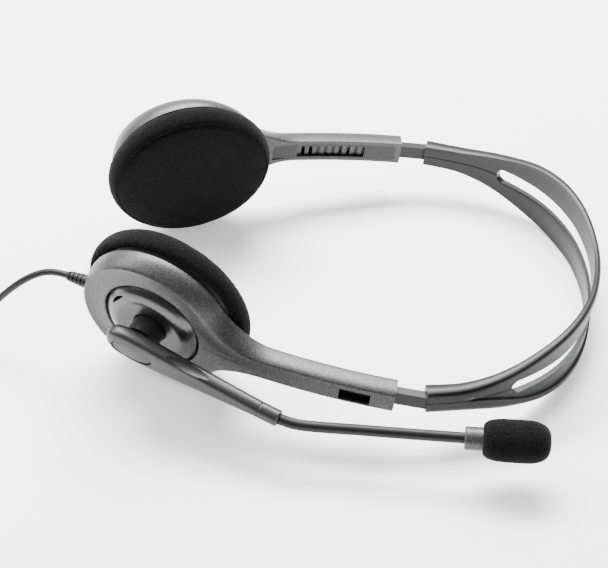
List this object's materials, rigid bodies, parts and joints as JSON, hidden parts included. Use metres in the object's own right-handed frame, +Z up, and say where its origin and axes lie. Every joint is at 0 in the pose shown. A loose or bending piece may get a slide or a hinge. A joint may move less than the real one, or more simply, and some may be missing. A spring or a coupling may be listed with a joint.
{
  "type": "office headset",
  "caption": "Light on-ear office headset with a slotted headband, sliding arms, foam ear pads and a rotating boom microphone on a gooseneck, lying on its side.",
  "frame": {"origin": "centre of the headset's footprint, on the surface that it lies on, measured without the cord", "axes": "+X towards the headband's crown, +Y towards the right earpiece, +Z up"},
  "size_m": [0.2573, 0.1472, 0.0554],
  "materials": {
    "band_plastic": "satin dark grey moulded plastic",
    "slider_plastic": "smooth dark plastic",
    "arm_silver": "speckled metallic silver-grey paint on plastic",
    "dial_silver": "smooth satin bright silver paint",
    "inner_plastic": "plain grey moulded plastic",
    "steel": "plain steel",
    "driver_plastic": "black plastic",
    "film": "thin clear amber film",
    "foam": "open-cell black foam",
    "cord_rubber": "matt black rubbery plastic",
    "contact_metal": "gold-plated contacts"
  },
  "bodies": {
    "headband": {"headband": "band_plastic", "slider_left": "slider_plastic", "slider_right": "slider_plastic"},
    "arm_left": {"arm_shell_left": "arm_silver", "arm_cover_left": "inner_plastic", "detent_spring_left": "steel", "cover_screw_left": "steel", "swivel_stud_left": "steel", "mic_dial": "dial_silver", "strain_relief": "cord_rubber", "cord_run": "cord_rubber", "cord_coil": "cord_rubber", "cord_tie": "cord_rubber", "cord_tail": "cord_rubber", "plug_body": "cord_rubber", "plug_contact": "contact_metal"},
    "swivel_left": {"swivel_socket_left": "inner_plastic"},
    "capsule_left": {"speaker_housing_left": "inner_plastic", "driver_magnet_left": "steel", "driver_frame_left": "driver_plastic", "diaphragm_left": "film", "baffle_left": "inner_plastic", "ear_pad_left": "foam"},
    "arm_right": {"arm_shell_right": "arm_silver", "arm_cover_right": "inner_plastic", "detent_spring_right": "steel", "cover_screw_right": "steel", "swivel_stud_right": "steel", "side_cap": "dial_silver"},
    "swivel_right": {"swivel_socket_right": "inner_plastic"},
    "capsule_right": {"speaker_housing_right": "inner_plastic", "driver_magnet_right": "steel", "driver_frame_right": "driver_plastic", "diaphragm_right": "film", "baffle_right": "inner_plastic", "ear_pad_right": "foam"},
    "boom": {"boom_hub": "arm_silver", "boom_front": "arm_silver", "boom_back": "arm_silver", "boom_badge": "arm_silver", "boom_collar": "arm_silver", "gooseneck": "cord_rubber"},
    "mic": {"mic_housing": "arm_silver", "mic_capsule": "steel", "windscreen": "foam"}
  },
  "joints": [
    {"name": "left_adjust", "type": "hinge", "parent": "headband", "child": "arm_left", "pos_m": [0.03907, 0.17852, 0.01448], "axis": [-0.1305, 0, -0.9914], "range_deg": [-2.04, 3.99]},
    {"name": "left_swivel_tilt", "type": "hinge", "parent": "arm_left", "child": "swivel_left", "pos_m": [-0.05328, -0.02793, 0.0272], "axis": [0.9099, -0.3971, -0.1198], "range_deg": [-2.5, 2.5]},
    {"name": "left_swivel_turn", "type": "hinge", "parent": "swivel_left", "child": "capsule_left", "pos_m": [-0.05328, -0.02793, 0.0272], "axis": [0.063, -0.1531, 0.9862], "range_deg": [-2.5, 2.5]},
    {"name": "right_adjust", "type": "hinge", "parent": "headband", "child": "arm_right", "pos_m": [0.03907, -0.15893, 0.01448], "axis": [0.1305, 0, 0.9914], "range_deg": [-2.04, 3.99]},
    {"name": "right_swivel_tilt", "type": "hinge", "parent": "arm_right", "child": "swivel_right", "pos_m": [-0.05315, 0.04752, 0.02835], "axis": [0.9352, 0.3322, -0.1231], "range_deg": [-2.5, 2.5]},
    {"name": "right_swivel_turn", "type": "hinge", "parent": "swivel_right", "child": "capsule_right", "pos_m": [-0.05315, 0.04752, 0.02835], "axis": [-0.1794, 0.1443, -0.9731], "range_deg": [-2.5, 2.5]},
    {"name": "boom_turn", "type": "hinge", "parent": "arm_left", "child": "boom", "pos_m": [-0.05964, -0.04195, 0.02543], "axis": [-0.41, -0.9049, -0.1142], "range_deg": [-135, 135]},
    {"name": "mic_bend", "type": "hinge", "parent": "boom", "child": "mic", "pos_m": [0.0122, -0.06421, 0.0152], "axis": [0.1295, -0.1817, 0.9748], "range_deg": [-35, 14], "deforming": ["gooseneck"]}
  ]
}
